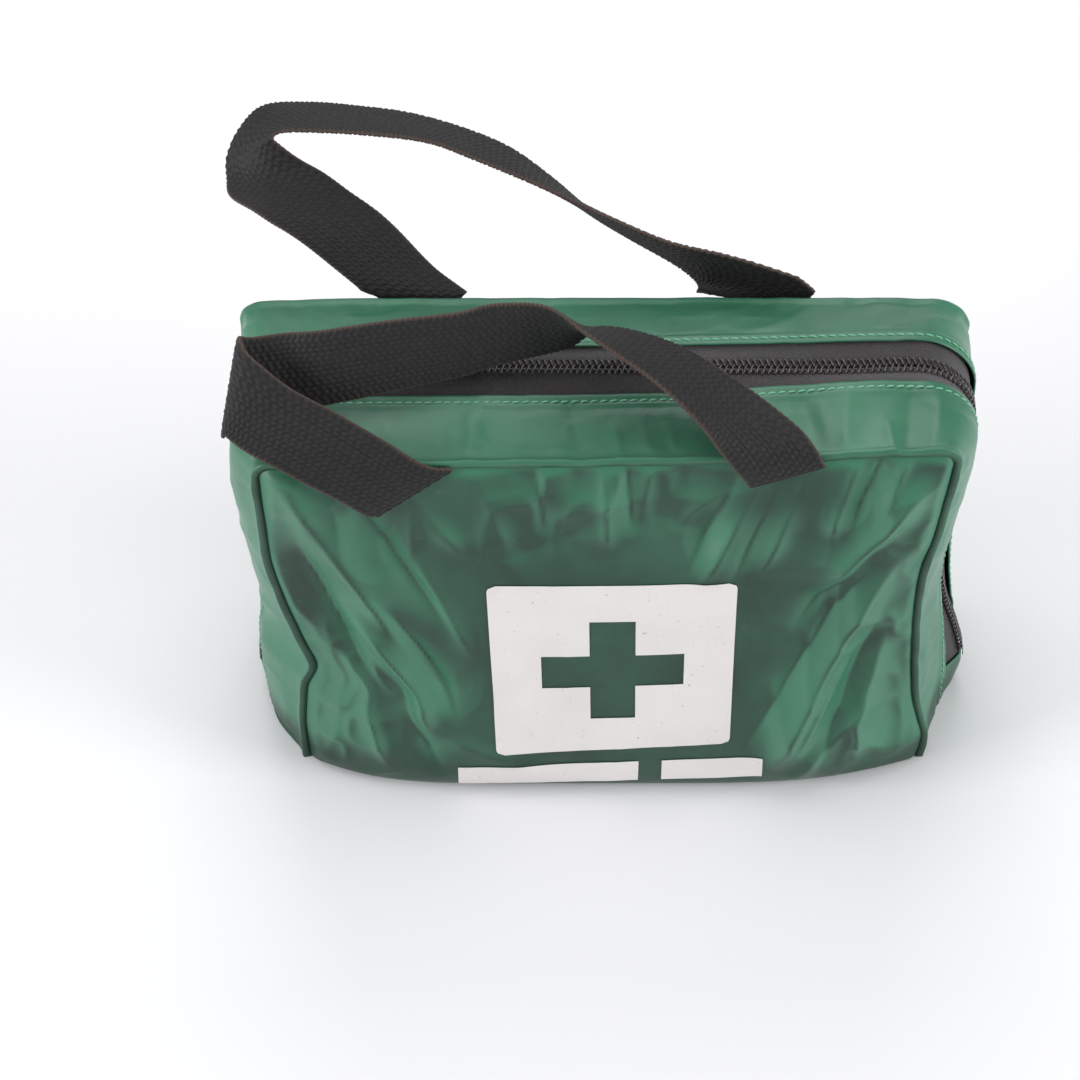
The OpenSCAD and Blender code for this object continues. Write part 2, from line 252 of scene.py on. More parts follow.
class Value:
    # A socket that reads as a number in an expression

    def __init__(self, maker, socket):
        self.maker, self.socket = maker, socket

    def math(self, operation, *others):
        return self.maker.node("ShaderNodeMath", {"operation": operation}, dict(enumerate((self, *others))))

    def __add__(self, other):
        return self.math("ADD", other)

    __radd__ = __add__

    def __sub__(self, other):
        return self.math("SUBTRACT", other)

    def __rsub__(self, other):
        return self.maker.node("ShaderNodeMath", {"operation": "SUBTRACT"}, {0: other, 1: self})

    def __mul__(self, other):
        return self.math("MULTIPLY", other)

    __rmul__ = __mul__


class Maker:
    # Makes one material. node() adds any node: its settings come first, then its sockets' values or links

    def __init__(self, name, **fixed):
        self.material = bpy.data.materials.new(name)
        self.material.use_nodes = True
        self.tree = self.material.node_tree
        self.shader = self.tree.nodes["Principled BSDF"]
        for socket, value in fixed.items():
            self.set(socket, value)

    def wire(self, target, value):
        if isinstance(value, Value):
            self.tree.links.new(value.socket, target)
        elif isinstance(value, tuple) and target.type == "RGBA":
            target.default_value = (*value[:3], 1)
        else:
            target.default_value = value

    def node(self, kind, settings=None, values=None, out=0):
        made = self.tree.nodes.new(kind)
        for name, value in (settings or {}).items():
            setattr(made, name, value)
        for name, value in (values or {}).items():
            self.wire(made.inputs[name], value)
        return Value(self, made.outputs[out])

    def set(self, socket, value):
        # baseColor stands for Base Color, and so on
        spaced = "".join(" " + letter if letter.isupper() else letter for letter in socket)
        self.wire(self.shader.inputs[spaced.title()], value)

    def place(self):
        # Object coordinates
        return self.node("ShaderNodeTexCoord", out=3)

    def parts(self, vector, *axes):
        return [self.node("ShaderNodeSeparateXYZ", None, {0: vector}, out=k) for k in axes]

    def attribute(self, name):
        return self.node("ShaderNodeAttribute", {"attribute_name": name}, out=2)

    def cloth(self):
        # The two cloth coordinates in metres
        return self.parts(self.node("ShaderNodeUVMap", {"uv_map": "cloth"}), 0, 1)

    def noise(self, scale, detail=2, rough=0.5, where=None):
        values = {"Vector": where or self.place(), "Scale": scale, "Detail": detail, "Roughness": rough}
        return self.node("ShaderNodeTexNoise", None, values)

    def mix(self, factor, a, b):
        return self.node("ShaderNodeMix", {"data_type": "RGBA"}, {0: factor, 6: a, 7: b}, out=2)

    def range(self, value, low, high, newLow=0.0, newHigh=1.0):
        values = {0: value, 1: low, 2: high, 3: newLow, 4: newHigh}
        return self.node("ShaderNodeMapRange", {"clamp": True}, values)

    def wave(self, distance, pitch):
        # Sine of a distance in metres, pitch in millimetres
        return (distance * (2 * math.pi / (pitch * toMetres))).math("SINE")

    def weave(self):
        # Plain weave of the coated cloth: the product of two sines
        a, b = self.cloth()
        return self.wave(a, clothWeave) * self.wave(b, clothWeave)

    def bump(self, height, distance, strength=1.0):
        values = {"Height": height, "Distance": distance * toMetres, "Strength": strength}
        self.set("normal", self.node("ShaderNodeBump", None, values))
        return self


def tint(*colour):
    # Screen colour from 0 to 255, as the linear colour that shaders read
    return tuple(c / 12.92 if c <= 0.04045 else ((c + 0.055) / 1.055) ** 2.4 for c in np.array(colour) / 255)


def makeNylon(name, light, dark, roughness):
    # Coated nylon: painted sheen, paler where the cloth is turned aside, and painted shade near the ground, a
    # faint blotchy tone, dusty scuffs, a fine weave
    maker = Maker(name, roughness=roughness)
    blotch = maker.range(maker.noise(28, 3), 0.35, 0.65)
    dust = maker.range(maker.noise(240, 4, 0.7), 0.62, 0.8)
    # Painted sheen and shade: paler on cloth turned away from the front, darker on cloth facing it and near
    # the ground
    paintedSheen = maker.range(maker.attribute("lean"), 0.12, 0.52)
    colour = maker.mix(paintedSheen * 0.8 + blotch * 0.2, tint(*dark), tint(*light))
    colour = maker.mix(dust * 0.10, colour, tint(150, 170, 155))
    maker.set("baseColor", colour)
    maker.set("roughness", maker.range(maker.noise(60, 3), 0.3, 0.7, roughness - 0.05, roughness + 0.07))
    height = maker.weave() * 0.16 + maker.noise(420, 3) * 0.9 + maker.noise(130, 2) * 2.2
    return maker.bump(height, 0.16, 0.55).material


def makePrint():
    # Screen print over nylon: off-white ink, worn in specks so that the green shows
    maker = Maker("printInk", roughness=0.5, sheenWeight=0.05)
    speck = maker.range(maker.noise(900, 2, 0.6), 0.70, 0.74)
    patchy = maker.range(maker.noise(45, 3), 0.3, 0.7)
    ink = maker.mix(patchy, tint(226, 221, 219), tint(232, 228, 226))
    maker.set("baseColor", maker.mix(speck * 0.7, ink, tint(96, 130, 108)))
    return maker.bump(maker.weave() * 0.3 + maker.noise(420, 3) * 0.8, 0.12, 0.5).material


def makeWebbing():
    # Polypropylene yarn: warm black, with painted highlight on the raised floats and painted shade in the
    # gaps between them, and a painted brown rim light along both edges
    maker = Maker("webbingYarn", roughness=0.5, sheenWeight=0.04, sheenRoughness=0.5)
    across = maker.cloth()[1]
    fibre = maker.noise(1800, 2, 0.6)
    rub = maker.range(maker.noise(300, 3), 0.35, 0.75)
    half = strap["width"] / 2
    # Painted brown rim light: both edges go brown, as if lit from behind
    fromMiddle = (across - half * toMetres).math("ABSOLUTE")
    edge = maker.range(fromMiddle, (half - 0.9) * toMetres, (half - 0.1) * toMetres)
    # Painted highlight and shade: paler on the raised floats, darker in the gaps between them
    height = maker.attribute("raised") + (rub - 0.5) * 0.3
    tone = maker.mix(maker.range(height, 0.2, 1.0), tint(5, 4, 5), tint(33, 29, 31))
    maker.set("baseColor", maker.mix(edge * 0.55, tone, tint(92, 72, 62)))
    maker.set("roughness", maker.range(fibre, 0.3, 0.7, 0.6, 0.75))
    return maker.bump(fibre, 0.12, 0.6).material


def makeTape():
    # Zip tape: dense dark twill
    maker = Maker("zipTape", roughness=0.72, sheenWeight=0.3, sheenRoughness=0.5)
    along, across = maker.cloth()
    twill = maker.wave(along + across, 0.7) + maker.wave(across, 0.7 / 1.7) * 0.5
    speckle = maker.noise(1500, 2, 0.7)
    maker.set("baseColor", maker.mix(maker.range(speckle, 0.35, 0.7), tint(37, 34, 37), tint(64, 59, 63)))
    return maker.bump(twill * 0.4 + speckle * 1.5, 0.2, 0.7).material


def makeCoil():
    # Nylon monofilament: black with a hard gloss
    maker = Maker("zipCoil", roughness=0.3, coatWeight=0.3, coatRoughness=0.15)
    tone = maker.range(maker.noise(700, 2), 0.3, 0.7)
    maker.set("baseColor", maker.mix(tone, tint(34, 32, 35), tint(84, 76, 80)))
    return maker.bump(maker.noise(1200, 2), 0.05, 0.3).material


def makeThread(name, colour):
    # Sewing thread: one colour with paler specks
    maker = Maker(name, roughness=0.45, sheenWeight=0.3)
    pale = tuple(min(255, c + 34) for c in colour)
    maker.set("baseColor", maker.mix(maker.noise(900, 2), tint(*colour), tint(*pale)))
    return maker.bump(maker.noise(2500, 1), 0.05, 0.5).material


def makePlain(name, light, dark, roughness, grain=(120, 600), depth=0.1, **fixed):
    # Two tones in soft blotches, grain = the sizes of blotch and bump, depth of the bump in millimetres
    maker = Maker(name, roughness=roughness, **fixed)
    tone = maker.range(maker.noise(grain[0], 3), 0.3, 0.7)
    maker.set("baseColor", maker.mix(tone, tint(*dark), tint(*light)))
    gloss = maker.noise(grain[1] * 0.7, 2)
    maker.set("roughness", maker.range(gloss, 0.3, 0.7, roughness - 0.05, roughness + 0.08))
    return maker.bump(maker.noise(grain[1], 3), depth, 0.5).material


def makeWoven(name, light, dark, pitch, depth):
    # Woven stuff over object coordinates: crossed sines, paler on the raised threads
    maker = Maker(name, roughness=0.8, sheenWeight=0.25)
    x, y, z = maker.parts(maker.place(), 0, 1, 2)
    thread = maker.wave(x + y, pitch) * maker.wave(z, pitch)
    speckle = maker.noise(900, 2)
    tone = maker.range(thread * 0.5 + speckle, 0.1, 0.9)
    maker.set("baseColor", maker.mix(tone, tint(*dark), tint(*light)))
    return maker.bump(thread + speckle, depth, 0.7).material


def makeBrushed(name, light, dark, roughness, stretch):
    # Metal drawn along one axis: noise stretched by a Mapping node
    maker = Maker(name, metallic=1.0, roughness=roughness)
    drawn = maker.node("ShaderNodeMapping", None, {"Vector": maker.place(), "Scale": stretch})
    lines = maker.noise(1, 2, 0.5, drawn)
    maker.set("baseColor", maker.mix(maker.noise(150, 3), tint(*dark), tint(*light)))
    maker.set("roughness", maker.range(lines, 0.3, 0.7, roughness - 0.08, roughness + 0.1))
    return maker.bump(lines, 0.02, 0.4).material


def makeBanded(name, paper, band, stripes):
    # Plain card or paper with coloured bands: stripes = (low, high) in millimetres of height
    maker = Maker(name, roughness=0.5)
    height = maker.parts(maker.place(), 2)[0]
    colour = maker.mix(maker.noise(60, 3), tint(*paper), tint(*[c - 10 for c in paper]))
    for low, high in stripes:
        inside = height.math("GREATER_THAN", low * toMetres) * height.math("LESS_THAN", high * toMetres)
        colour = maker.mix(inside, colour, tint(*band))
    maker.set("baseColor", colour)
    return maker.bump(maker.noise(700, 3), 0.05, 0.4).material


def makeWound(name, colour, centre, pitch):
    # Tape wound round the y axis: fine rings on its faces, from the distance to its centre
    maker = Maker(name, roughness=0.6)
    off = maker.node("ShaderNodeVectorMath", {"operation": "SUBTRACT"}, {0: maker.place(), 1: centre})
    x, z = maker.parts(off, 0, 2)
    rings = maker.wave((x * x + z * z).math("SQRT"), pitch)
    darker = tint(*[c - 26 for c in colour])
    maker.set("baseColor", maker.mix(maker.range(rings, -1, 1), darker, tint(*colour)))
    return maker.bump(rings + maker.noise(900, 2), 0.08, 0.6).material


nylon = makeNylon("nylonGreen", (63, 122, 95), (14, 54, 38), 0.34)
lining = makeNylon("nylonInside", (50, 104, 78), (38, 88, 64), 0.55)
ink = makePrint()
webbingYarn = makeWebbing()
tapeCloth = makeTape()
coilNylon = makeCoil()
bindingCloth = makeNylon("bindingCloth", (38, 84, 62), (28, 66, 48), 0.7)
greenThread = makeThread("greenThread", (96, 172, 136))
blackThread = makeThread("blackThread", (44, 40, 43))

# Long lens in millimetres, its place in metres and its tilt from straight down
view = {"lens": 121.73, "sensor": 36, "place": (-0.0219, -0.8466, 0.9973), "tilt": math.pi / 2 - 0.83}
cameraData = bpy.data.cameras.new("camera")
cameraData.lens = view["lens"]
cameraData.sensor_width = view["sensor"]
camera = bpy.data.objects.new("camera", cameraData)
camera.location = view["place"]
camera.rotation_euler = (view["tilt"], 0, 0)
scene.collection.objects.link(camera)
scene.camera = camera
scene.view_settings.view_transform = "Standard"

# Soft lamps: name, watts, side and place in metres
studio = {
    "world": 0.33, "target": (0, 0, 0.08), "floor": 4000,
    "boxes": (("backLight", 15.0, 1.3, (-0.1, 1.7, 1.75)), ("topLight", 14.0, 1.5, (-0.2, 0.2, 2.1)),
              ("leftLight", 27.0, 0.8, (-1.9, -0.65, 0.75)), ("rightLight", 27.0, 0.8, (1.9, -0.65, 0.7)))}
scene.world = scene.world or bpy.data.worlds.new("world")
scene.world.use_nodes = True
background = scene.world.node_tree.nodes["Background"]
background.inputs["Color"].default_value = (1, 1, 1, 1)
background.inputs["Strength"].default_value = studio["world"]


def addSoftLight(name, power, size, place):
    # A square lamp that faces the middle of the bag
    data = bpy.data.lights.new(name, "AREA")
    data.energy, data.size = power, size
    lamp = bpy.data.objects.new(name, data)
    lamp.location = place
    lamp.rotation_euler = (Vector(studio["target"]) - Vector(place)).to_track_quat("-Z", "Y").to_euler()
    scene.collection.objects.link(lamp)


for lightName, power, size, place in studio["boxes"]:
    addSoftLight(lightName, power, size, place)

floorMaker = Maker("studioFloor", roughness=0.8)
floorMaker.set("baseColor", tint(243, 243, 246))
corners = [[a * studio["floor"], b * studio["floor"], 0] for a, b in ((-1, -1), (1, -1), (1, 1), (-1, 1))]
floor = addMesh("floor", corners, [[0, 1, 2, 3]], floorMaker.material)
print("camera and light set")

# Base outline 240 wide and 150 high, turned into the real one by the curves below; wall is the cloth's
bag = {"half": 120, "top": 150, "front": -38, "back": 38, "zipEdge": 9, "wall": 0.6}
# Corner radius against depth
leftRadius = [(-38, 6), (-20, 8), (-9, 13), (0, 16), (9, 15), (38, 7)]
rightRadius = [(-38, 6), (-20, 14), (-9, 20), (0, 24), (9, 23), (38, 12)]
# x of the left side against height, at each depth
leftSide = {
    -38: [(0, -103), (20, -103.7), (32, -103), (40, -102), (49, -98.8), (61, -102), (76, -106), (89, -109),
          (104, -111.8), (123, -112.8), (150, -114)],
    -20: [(0, -115), (10, -116), (24, -116.4), (43, -118), (56, -116), (63, -116.8), (84, -119.7),
          (104, -122),
          (123, -123.7), (150, -122.5)],
    -9: [(0, -117.5), (20, -119), (43, -118.6), (56, -117), (84, -119), (110, -120.5), (150, -121)],
    0: [(0, -118.5), (9, -120.6), (20, -120.5), (33, -118.8), (50, -117), (80, -117), (110, -118.5),
        (150, -120.5)],
    9: [(0, -118.5), (20, -120.5), (50, -118), (80, -118), (110, -120), (150, -122)],
    38: [(0, -117), (40, -118), (100, -120), (150, -122)],
}
rightSide = {
    -38: [(0, 111), (12, 112), (20, 110), (33, 107), (43, 106), (60, 105), (80, 104.5), (97, 105.5),
          (109, 108),
          (125, 110), (150, 113)],
    -20: [(0, 117), (30, 116), (60, 114), (71, 113.4), (79, 113.4), (94, 115.6), (109, 117.7), (123, 119.7),
          (137, 120.8), (150, 120)],
    -9: [(0, 121), (15, 121), (40, 118), (60, 115.3), (90, 117.5), (120, 120.5), (150, 122)],
    0: [(0, 125.5), (8, 127.3), (14, 127.6), (28, 124.3), (41, 119.9), (60, 116.3), (90, 118), (120, 121),
        (150, 123.5)],
    9: [(0, 124), (20, 124.5), (45, 121), (90, 120), (150, 124)],
    38: [(0, 118), (60, 119), (100, 120), (150, 122)],
}
# Height of the top against x, at each depth, before its corners are rounded
topLine = {
    -38: [(-120, 147.2), (-60, 148), (0, 149), (60, 151), (100, 153.3), (120, 154)],
    -20: [(-120, 149), (-60, 149.5), (0, 150.5), (60, 153.5), (88, 155.5), (120, 155)],
    -9: [(-120, 150.5), (-61, 150.8), (0, 151.6), (30, 152.8), (56, 155.3), (88, 158), (120, 157)],
    0: [(-120, 155.5), (-67, 156.2), (0, 156.2), (40, 156.1), (78, 156.2), (92, 156.8), (106, 157),
        (120, 157)],
    9: [(-120, 155), (-60, 155.5), (30, 156.4), (57, 157.2), (83, 158.2), (106, 158.6), (120, 158)],
    38: [(-120, 147.5), (-100, 148.5), (-35, 149.4), (32, 149.4), (99, 149), (120, 148.5)],
}


def shaped(x0, z0, y):
    # The sides slide out to their curves and the height scales to the top's curve
    x0, z0, y = np.broadcast_arrays(x0, z0, y)
    left = (table(leftSide, z0, y) + bag["half"]) * ramp(-x0, 20, 118)
    right = (table(rightSide, z0, y) - bag["half"]) * ramp(x0, 20, 118)
    return x0 + left + right, z0 * table(topLine, x0, y) / bag["top"]


def outline(y, side=120, arc=18, top=190):
    # From the left foot up, over and down to the right foot: one row for each step, one column for each y
    y = np.atleast_1d(np.asarray(y, float))[None, :]

    def foot(r):
        rise = (np.arange(side) / side)[:, None] * (bag["top"] - r)
        turn = (np.arange(arc) / arc * np.pi / 2)[:, None]
        x = np.vstack([bag["half"] + 0 * rise, bag["half"] - r + r * np.cos(turn)])
        return x, np.vstack([rise, bag["top"] - r + r * np.sin(turn)])

    left, right = cubic(y, leftRadius), cubic(y, rightRadius)
    (leftX, leftZ), (rightX, rightZ) = foot(left), foot(right)
    share = np.linspace(0, 1, top)[:, None]
    over = (left - bag["half"]) * (1 - share) + (bag["half"] - right) * share
    return np.vstack([-leftX, over, rightX[::-1]]), np.vstack([leftZ, bag["top"] + 0 * over, rightZ[::-1]])


def halfAt(z0, u, y):
    # Half width of the base outline at a height, for the left or the right half
    r = np.where(u < 0, cubic(y, leftRadius), cubic(y, rightRadius))
    climb = np.clip(z0 - (bag["top"] - r), 0, r)
    return bag["half"] - r + np.sqrt(np.maximum(r * r - climb ** 2, 0))


def aroundBag(y, out=0.0, **steps):
    # Grid on the gusset at the depths y, moved out along its normals
    y = np.atleast_1d(np.asarray(y, float))
    padded = np.concatenate([[y[0] - 0.5], y, [y[-1] + 0.5]]) if len(y) < 3 else y
    x0, z0 = outline(padded, **steps)
    x, z = shaped(x0, z0, padded[None, :])
    grid = stack(x, padded[None, :], z)
    grid = grid + gridNormals(grid) * out
    return grid[:, 1:-1] if len(y) < 3 else grid


# The panel's profile in its middle: share of the way up, height, depth
panelRise = [(0, 0.3, -44), (0.05, 1.2, -49.6), (0.1, 4.5, -52.8), (0.15, 9.5, -54.2), (0.2, 16, -54.5),
             (0.3, 30, -54), (0.43, 50, -52.5), (0.56, 72, -50), (0.7, 95, -47), (0.83, 118, -44),
             (0.93, 137, -41), (1, 150, -38.4)]
# Folds over the panel: x and z of both ends, width, height
panelFolds = [
    (-112, 146, -76, 74, 12, 6.4), (-96, 150, -58, 84, 7, -3.6), (-92, 82, -68, 34, 10, 5.8),
    (-82, 92, -58, 44, 6, -3.4), (-104, 62, -88, 16, 6, 3.4), (-107, 112, -98, 62, 5, -3.8),
    (-76, 150, -50, 116, 6, 2.8), (-66, 110, -48, 70, 7, 2.0), (-86, 56, -64, 16, 7, -2.4),
    (-44, 149, -34, 118, 6, 1.8), (-24, 150, -20, 122, 4, -1.2), (-1, 149, 0, 118, 4, 1.9),
    (6, 149, 8, 124, 3, -1.3), (14, 149, 11, 128, 4, 1.0), (54, 149, 34, 104, 6, 3.4),
    (45, 149, 28, 108, 5, -2.2), (70, 149, 56, 108, 6, 2.9), (61, 149, 45, 104, 5, -2.2),
    (86, 150, 80, 120, 5, 2.8), (94, 149, 88, 122, 4, -2.4), (103, 149, 98, 128, 4, 2.1),
    (110, 136, 84, 96, 10, 5.8), (104, 116, 74, 82, 6, -3.0), (107, 100, 64, 20, 11, 7.4),
    (96, 98, 56, 34, 6, -2.4), (106, 78, 82, 18, 6, -2.6), (108, 64, 94, 14, 6, 3.6),
    (104, 42, 68, 8, 9, 3.8), (96, 62, 74, 26, 4, 2.0), (-60, 30, -20, 12, 8, 1.2),
    (62, 54, 72, 20, 8, 1.4), (10, 132, 40, 116, 14, -2.2), (-30, 112, -10, 124, 12, -1.4)]


def seamTuck(edge):
    # How far a panel sinks towards its seam
    return 1.5 * np.exp(-(edge / 2.2) ** 2)


def panelPoint(u, v, out=0.0):
    # u runs from the left seam, -1, to the right seam, 1; v from the underside, 0, to the top seam, 1
    u, v = np.broadcast_arrays(np.asarray(u, float), np.asarray(v, float))
    z0 = cubic(v, [(p[0], p[1]) for p in panelRise])
    middle = cubic(v, [(p[0], p[2]) for p in panelRise])
    half = halfAt(z0, u, bag["front"])
    x0 = u * half
    x, z = shaped(x0, z0, bag["front"])
    low = 1 - ramp(z0, 8, 62)
    boxy = 2.6 + low * (1.8 + 1.6 * ramp(-x0, -30, 60))
    bulge = 1 - np.abs(u) ** boxy
    side = (1 - np.abs(u)) * half
    edge = np.minimum(side, bag["top"] - z0)
    centre = ramp(side, 10, 60) * ramp(bag["top"] - z0, 8, 46)
    lift = foldHeight(x0, z0, panelFolds)
    lift = lift + crumple(x0 + 7, z0 * 0.8, 24) * (2.2 - 1.9 * centre)
    lift = lift + 0.7 * np.exp(-side / 9) * noise(z0 / 5.5, 3.3)
    lift = lift + 0.55 * np.exp(-(bag["top"] - z0) / 9) * noise(x0 / 5, 8.1)
    # Flat under the straps' sewn ends
    sewn = ramp(z0, 114, 134) * np.exp(-((np.abs(x0) - 60) / 26) ** 4)
    lift = lift * ramp(edge, 0, 5) * ramp(z0, 0, 10) * (1 - 0.85 * sewn)
    y = bag["front"] + (middle - bag["front"]) * bulge - lift + seamTuck(edge) - out
    return stack(x, y, z - out * (1 - ramp(z0, 0, 6)))


def foldAcross(piece):
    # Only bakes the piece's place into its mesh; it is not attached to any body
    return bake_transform(piece)


grid = panelPoint(np.linspace(-1, 1, 221)[:, None], np.linspace(0, 1, 150)[None, :])
frontPanel = addGrid("frontPanel", grid, nylon)
thicken(frontPanel, bag["wall"], lining)
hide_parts("front_panel")
foldAcross(frontPanel)


def trimmed(grid, foot):
    # Drops the rows whose middle is below a height
    return grid[grid[:, grid.shape[1] // 2, 2] > foot]


def gussetLift(grid, y, seam, hem):
    # A rolled ridge at the seam, a doubled hem at the zip with its stitch groove, and puckers beside both
    run = lengths(grid[:, 0])[:, None]
    fromSeam, fromHem = np.abs(y - seam)[None, :], np.abs(y - hem)[None, :]
    lift = 1.3 * np.exp(-((fromSeam - 1.2) / 1.3) ** 2) - 1.6 * np.exp(-(fromSeam / 0.5) ** 2)
    lift = lift + 0.45 * (1 - ramp(fromHem, 4.2, 5.2)) - 0.3 * np.exp(-((fromHem - 2.6) / 0.5) ** 2)
    lift = lift + 0.7 * np.exp(-fromSeam / 6) * noise(run / 6 + 3, seam) * ramp(fromSeam, 0, 3)
    lift = lift + 0.3 * np.exp(-fromHem / 5) * noise(run / 4.5, hem + 0.5)
    return lift + crumple(run, y[None, :] + 60, 19) * 0.75 * ramp(fromSeam, 1, 9) * ramp(fromHem, 3, 9)


def addGusset(name, depths, seam, hem, folds):
    grid = aroundBag(depths)
    top = ramp(grid[..., 2], 100, 140)
    lift = gussetLift(grid, depths, seam, hem) + top * foldHeight(grid[..., 0], grid[..., 1], folds)
    piece = addGrid(name, grid + gridNormals(grid) * lift[..., None], nylon)
    return thicken(piece, bag["wall"], lining)


# Folds on the top strip: x and y of both ends, width, height
frontTopFolds = [
    (-40, -10, -46, -36, 6, 0.8), (-12, -12, -8, -36, 6, -0.9), (2, -22, 4, -38, 3, 1.0),
    (40, -10, 46, -34, 7, 1.0), (62, -12, 70, -38, 7, -1.2), (78, -12, 76, -36, 6, 1.3),
    (90, -24, 92, -38, 3, 1.4), (99, -10, 96, -36, 6, -1.3), (108, -14, 104, -36, 5, 1.2),
    (-96, -14, -88, -36, 6, 0.9)]
backTopFolds = [
    (-90, 12, -84, 36, 8, 0.8), (-20, 12, -26, 34, 9, -0.6), (30, 12, 34, 36, 8, 0.6),
    (94, 14, 90, 36, 8, 0.9)]
frontDepths = np.linspace(bag["front"], -bag["zipEdge"], 34)
backDepths = np.linspace(bag["zipEdge"], bag["back"], 34)
frontGusset = addGusset("frontGusset", frontDepths, bag["front"], -bag["zipEdge"], frontTopFolds)
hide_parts("front_gusset")
foldAcross(frontGusset)
backGusset = addGusset("backGusset", backDepths, bag["back"], bag["zipEdge"], backTopFolds)
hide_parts("back_gusset")
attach(backGusset, "back_half")

# Binding over the raw edges inside, a little behind each seam; foot is its lowest height
binding = {"half": 2, "depth": -2.4, "arch": 0.5, "wall": 0.5}
for name, node, middle, foot, body in (("frontSeamTape", "front_seam_tape", -33.5, 16, None),
                                       ("backSeamTape", "back_seam_tape", 33.5, 3, "back_half")):
    off = np.linspace(-binding["half"], binding["half"], 8)
    out = binding["depth"] + binding["arch"] * np.cos(off / binding["half"] * np.pi / 2)
    grid = trimmed(aroundBag(middle + off, out[None, :, None]), foot)
    tape = addGrid(name, grid, bindingCloth, body)
    thicken(tape, binding["wall"])
    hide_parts(node)
    if not body:
        foldAcross(tape)

# The back's swell against the share of its height
backBulge = [(0, 0), (0.12, 0.35), (0.3, 0.8), (0.5, 1), (0.75, 0.85), (1, 0)]
backFolds = [
    (-100, 140, -60, 70, 9, 1.6), (-80, 60, -30, 20, 9, 1.1), (96, 138, 60, 80, 9, 1.5),
    (104, 70, 60, 24, 8, 1.3), (-20, 148, -14, 110, 6, 0.8), (30, 148, 24, 116, 6, -0.8),
    (-60, 148, -52, 120, 5, -0.9), (0, 60, 30, 12, 10, 0.8)]


def backPoint(u, v):
    # Like the front panel, but nearly flat, with the same tucked seam
    u, v = np.broadcast_arrays(np.asarray(u, float), np.asarray(v, float))
    z0 = v * bag["top"]
    half = halfAt(z0, u, bag["back"])
    x0 = u * half
    x, z = shaped(x0, z0, bag["back"])
    edge = np.minimum((1 - np.abs(u)) * half, bag["top"] - z0)
    lift = 4.6 * (1 - np.abs(u) ** 2.4) * cubic(v, backBulge)
    wrinkle = foldHeight(x0, z0, backFolds) + crumple(x0 - 40, z0, 28) * 0.7
    wrinkle = wrinkle * ramp(edge, 0, 8) * ramp(z0, 0, 10)
    return stack(x, bag["back"] + lift + wrinkle - seamTuck(edge), z)


grid = backPoint(np.linspace(-1, 1, 150)[None, :], np.linspace(0, 1, 100)[:, None])
backPanel = addGrid("backPanel", grid, nylon, "back_half")
thicken(backPanel, bag["wall"], lining)
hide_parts("back_panel")

share = np.linspace(0, 1, 60)[:, None]
across = np.linspace(-1, 1, 150)[None, :]
frontRow = panelPoint(across, 0.0)
backRow = backPoint(across, 0.0)
floorY = frontRow[..., 1] * (1 - share) + backRow[..., 1] * share
floorX = shaped(across * bag["half"], 0.0, floorY)[0]
sag = 0.35 + 0.25 * noise(floorX / 12, share * 6)
underside = stack(floorX, floorY, np.maximum(0.1, sag))
bottomPanel = addGrid("bottomPanel", underside, nylon, "back_half")
thicken(bottomPanel, bag["wall"], lining)
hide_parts("bottom_panel")
print("bag shell made")

# Each tape runs from gap to edge, sunk below the gusset; the coil's turns reach over it and past the middle
zipPart = {"gap": 0.25, "edge": 12, "deep": 1.5, "crown": 0.5, "wall": 0.5, "foot": 11,
           "pitch": 2.08, "wire": 0.38, "reach": 3.1, "past": 0.45, "rise": 0.8, "level": -0.55}
for name, node, body, low, high in (
        ("frontZipTape", "front_zip_tape", None, -zipPart["edge"], -zipPart["gap"]),
        ("backZipTape", "back_zip_tape", "back_half", zipPart["gap"], zipPart["edge"])):
    depths = np.linspace(low, high, 14)
    sunk = zipPart["deep"] - zipPart["crown"] * (1 - np.abs(depths) / zipPart["edge"])
    grid = trimmed(aroundBag(depths, -sunk[None, :, None]), zipPart["foot"] - 3)
    tape = addGrid(name, grid, tapeCloth, body)
    thicken(tape, zipPart["wall"])
    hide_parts(node)
    if not body:
        foldAcross(tape)

chain = trimmed(aroundBag([0.0], side=400, arc=60, top=500), zipPart["foot"])[:, 0]
chain, chainRun = evenly(chain, 0.5)
chainAlong = unit(np.gradient(chain, axis=0))
depthAxis = np.array([0.0, 1.0, 0.0])
chainUp = unit(np.cross(chainAlong, depthAxis))


def onChain(run, y, up):
    # Point beside the zip's middle line, at a run along it
    return sampled(chain, chainRun, run) + stack(0, y, 0) + sampled(chainUp, chainRun, run) * up[..., None]


def addCoil(name, side, body):
    # A flattened helix: each turn reaches from the tape past the middle, its head leaning along the zip
    turns = int(chainRun[-1] / zipPart["pitch"]) - 2
    angle = np.arange(turns * 12) / 12 * 2 * np.pi
    shift = 0.0 if side < 0 else zipPart["pitch"] / 2
    reach = (zipPart["reach"] + zipPart["past"]) / 2
    y = side * (zipPart["reach"] - reach + reach * np.cos(angle))
    up = zipPart["level"] + zipPart["rise"] * np.sin(angle)
    run = 1 + shift + angle / (2 * np.pi) * zipPart["pitch"] - 0.35 * np.cos(angle)
    path = onChain(run, y, up)
    along = unit(np.gradient(path, axis=0))
    outward = unit(np.cross(along, sampled(chainAlong, chainRun, run)))
    beside = np.cross(along, outward)
    turn = (np.arange(6) / 6 * 2 * np.pi)[None, :, None]
    ring = path[:, None] + zipPart["wire"] * (outward[:, None] * np.cos(turn) + beside[:,
                                                                                       None] * np.sin(turn))
    faces = [*gridFaces(len(path), 6, True), [5, 4, 3, 2, 1, 0], [len(path) * 6 - 6 + k for k in range(6)]]
    return addMesh(name, ring, faces, coilNylon, body)


frontCoil = addCoil("frontZipCoil", -1, None)
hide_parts("front_zip_coil")
foldAcross(frontCoil)
backCoil = addCoil("backZipCoil", 1, "back_half")
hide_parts("back_zip_coil")

